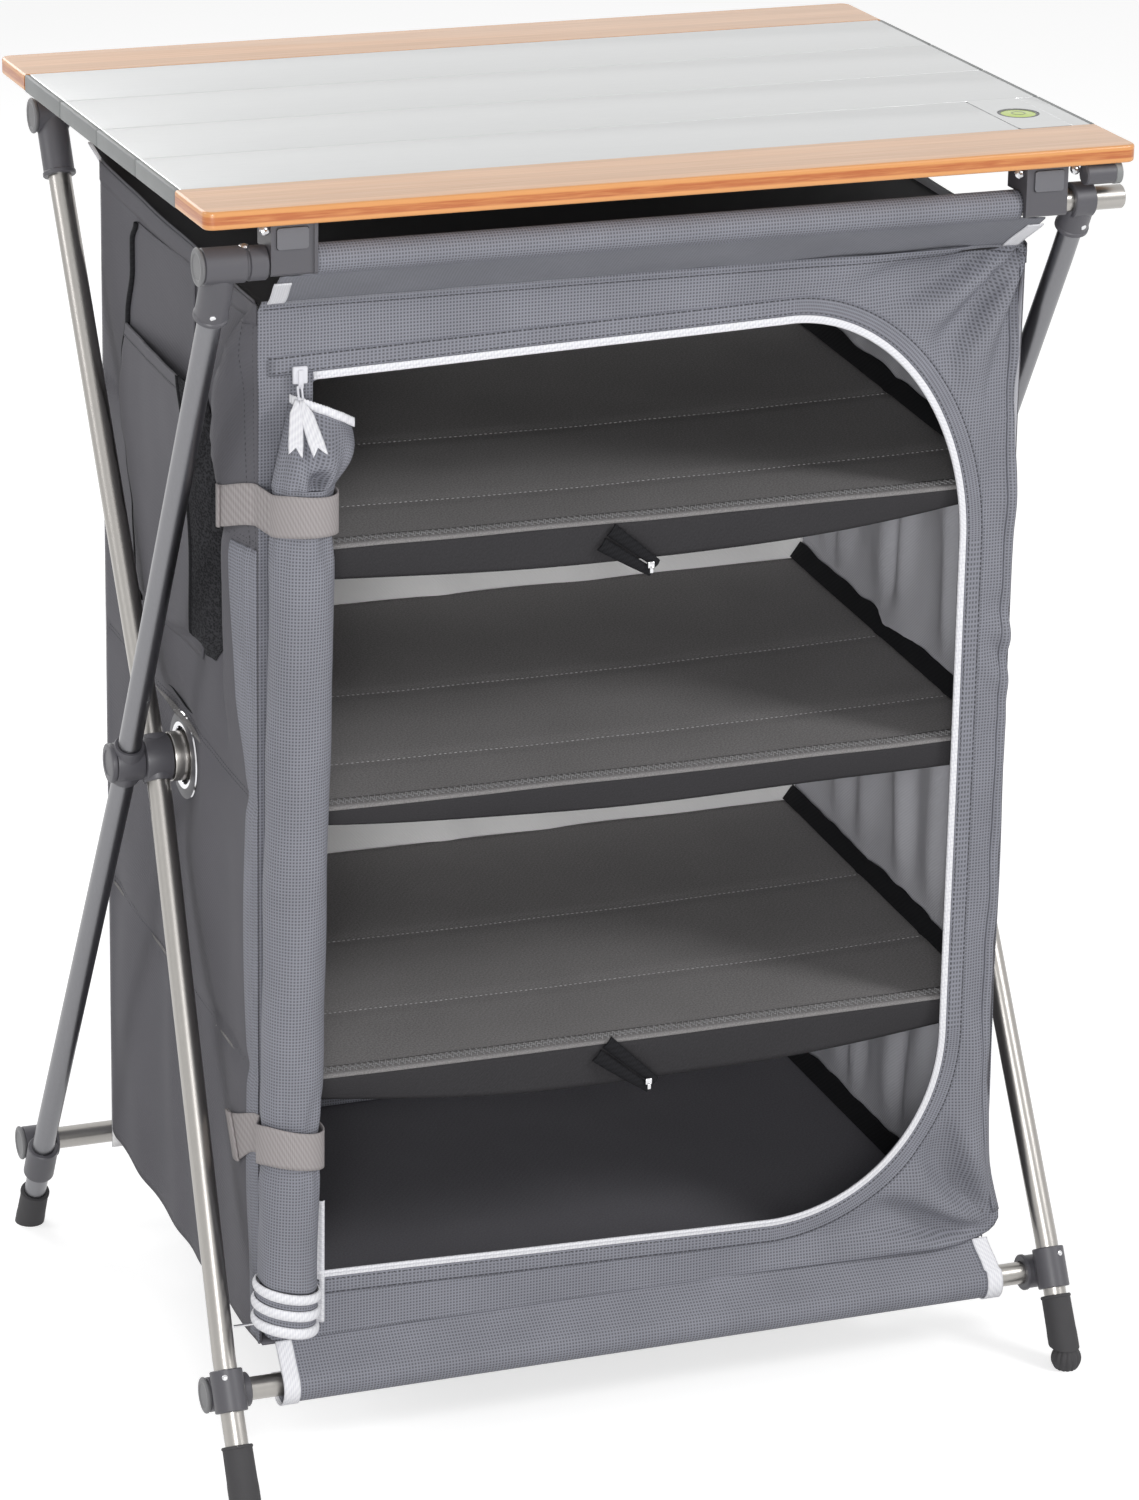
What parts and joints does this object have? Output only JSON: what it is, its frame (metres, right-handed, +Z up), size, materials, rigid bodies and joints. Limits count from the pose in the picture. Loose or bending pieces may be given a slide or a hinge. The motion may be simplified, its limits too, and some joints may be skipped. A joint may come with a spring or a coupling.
{
  "type": "camp kitchen",
  "caption": "Folding camp kitchen: roll-up table top on crossed tube frames with a zipped textile cabinet, soft shelves, a rolled door and a side pocket.",
  "frame": {"origin": "on the ground, under the middle of the table top", "axes": "+X to the right, +Y away from the door side, +Z up"},
  "size_m": [0.8118, 0.6368, 1.105],
  "materials": {
    "bamboo": "satin lacquer",
    "slat_aluminium": "satin",
    "tube_aluminium": "satin",
    "tube_grey": "satin",
    "chrome": "polished",
    "black_plastic": "satin moulded",
    "rubber": "matt",
    "level_vial": "clear, tinted",
    "grey_cloth": "woven polyester",
    "felt_cloth": "felt",
    "white_tape": "woven tape",
    "strap_cloth": "webbing"
  },
  "bodies": {
    "cabinet": {"centre_crossbar": "tube_aluminium", "hub_axle_left": "black_plastic", "hub_axle_right": "black_plastic", "eyelet_left": "chrome", "eyelet_right": "chrome", "front_panel": "grey_cloth", "back_panel": "grey_cloth", "side_wall_left": "grey_cloth", "side_wall_right": "grey_cloth", "top_panel": "felt_cloth", "floor_panel": "felt_cloth", "shelf_upper": "felt_cloth", "shelf_middle": "felt_cloth", "shelf_lower": "felt_cloth", "door_roll": "grey_cloth", "side_pocket": "grey_cloth", "strap_upper": "strap_cloth", "strap_lower": "strap_cloth", "zipper_tape": "white_tape"},
    "zip_pull": {"zip_pull": "white_tape"},
    "frame_a": {"leg_a_left": "tube_grey", "top_tee_a_left": "black_plastic", "bottom_tee_a_left": "black_plastic", "hub_sleeve_a_left": "black_plastic", "foot_a_left": "rubber", "leg_a_right": "tube_grey", "top_tee_a_right": "black_plastic", "bottom_tee_a_right": "black_plastic", "hub_sleeve_a_right": "black_plastic", "foot_a_right": "rubber", "top_bar_a": "tube_aluminium", "bottom_bar_a": "tube_aluminium"},
    "frame_b": {"leg_b_left": "tube_aluminium", "top_tee_b_left": "black_plastic", "bottom_tee_b_left": "black_plastic", "hub_sleeve_b_left": "black_plastic", "foot_b_left": "rubber", "leg_b_right": "tube_aluminium", "top_tee_b_right": "black_plastic", "bottom_tee_b_right": "black_plastic", "hub_sleeve_b_right": "black_plastic", "foot_b_right": "rubber", "top_bar_b": "tube_aluminium", "bottom_bar_b": "tube_aluminium"},
    "levelling_knob": {"levelling_knob": "black_plastic"},
    "slat_1": {"slat_1": "slat_aluminium", "bubble_level": "level_vial"},
    "slat_2": {"slat_2": "slat_aluminium"},
    "slat_3": {"slat_3": "slat_aluminium"},
    "slat_4": {"slat_4": "slat_aluminium"},
    "plank_front": {"plank_front": "bamboo", "clip_front_left": "black_plastic", "clip_front_right": "black_plastic"},
    "plank_rear": {"plank_rear": "bamboo", "clip_rear_left": "black_plastic", "clip_rear_right": "black_plastic"},
    "button_front_left": {"button_front_left": "black_plastic"},
    "button_front_right": {"button_front_right": "black_plastic"},
    "button_rear_left": {"button_rear_left": "black_plastic"},
    "button_rear_right": {"button_rear_right": "black_plastic"}
  },
  "joints": [
    {"name": "frame_a_fold", "type": "hinge", "parent": "cabinet", "child": "frame_a", "pos_m": [0, 0, 0.555], "axis": [-1, 0, 0], "range_deg": [0, 24], "deforming": ["front_panel", "back_panel", "side_wall_left", "side_wall_right", "top_panel", "floor_panel", "shelf_upper", "shelf_middle", "shelf_lower", "side_pocket"]},
    {"name": "frame_b_fold", "type": "hinge", "parent": "cabinet", "child": "frame_b", "pos_m": [0, 0, 0.555], "axis": [1, 0, 0], "range_deg": [0, 24]},
    {"name": "table_lift", "type": "slide", "parent": "cabinet", "child": "slat_2", "axis": [0, 0, 1], "range_m": [0, 0.126]},
    {"name": "slat_1_roll", "type": "hinge", "parent": "slat_2", "child": "slat_1", "pos_m": [0, -0.1095, 1.105], "axis": [-1, 0, 0], "range_deg": [0, 50]},
    {"name": "plank_front_roll", "type": "hinge", "parent": "slat_1", "child": "plank_front", "pos_m": [0, -0.219, 1.105], "axis": [-1, 0, 0], "range_deg": [0, 50]},
    {"name": "slat_3_roll", "type": "hinge", "parent": "slat_2", "child": "slat_3", "pos_m": [0, 0, 1.105], "axis": [1, 0, 0], "range_deg": [0, 50]},
    {"name": "slat_4_roll", "type": "hinge", "parent": "slat_3", "child": "slat_4", "pos_m": [0, 0.1095, 1.105], "axis": [1, 0, 0], "range_deg": [0, 50]},
    {"name": "plank_rear_roll", "type": "hinge", "parent": "slat_4", "child": "plank_rear", "pos_m": [0, 0.219, 1.105], "axis": [1, 0, 0], "range_deg": [0, 50]},
    {"name": "levelling_knob_screw", "type": "slide", "parent": "frame_b", "child": "levelling_knob", "axis": [0, -0.4785, -0.8781], "range_m": [0, 0.012]},
    {"name": "zip_pull_swing", "type": "hinge", "parent": "cabinet", "child": "zip_pull", "pos_m": [-0.312, -0.2326, 0.9424], "axis": [-1, 0, 0], "range_deg": [0, 75]},
    {"name": "button_front_left_press", "type": "slide", "parent": "plank_front", "child": "button_front_left", "axis": [0, 1, 0], "range_m": [0, 0.003], "stiffness_N_per_m": 300},
    {"name": "button_front_right_press", "type": "slide", "parent": "plank_front", "child": "button_front_right", "axis": [0, 1, 0], "range_m": [0, 0.003], "stiffness_N_per_m": 300},
    {"name": "button_rear_left_press", "type": "slide", "parent": "plank_rear", "child": "button_rear_left", "axis": [0, -1, 0], "range_m": [0, 0.003], "stiffness_N_per_m": 300},
    {"name": "button_rear_right_press", "type": "slide", "parent": "plank_rear", "child": "button_rear_right", "axis": [0, -1, 0], "range_m": [0, 0.003], "stiffness_N_per_m": 300}
  ],
  "couplings": [
    {"joint": "frame_b_fold", "follows": "frame_a_fold", "ratio": 1},
    {"joint": "table_lift", "follows": "frame_a_fold", "m_per_rad": 0.3}
  ]
}
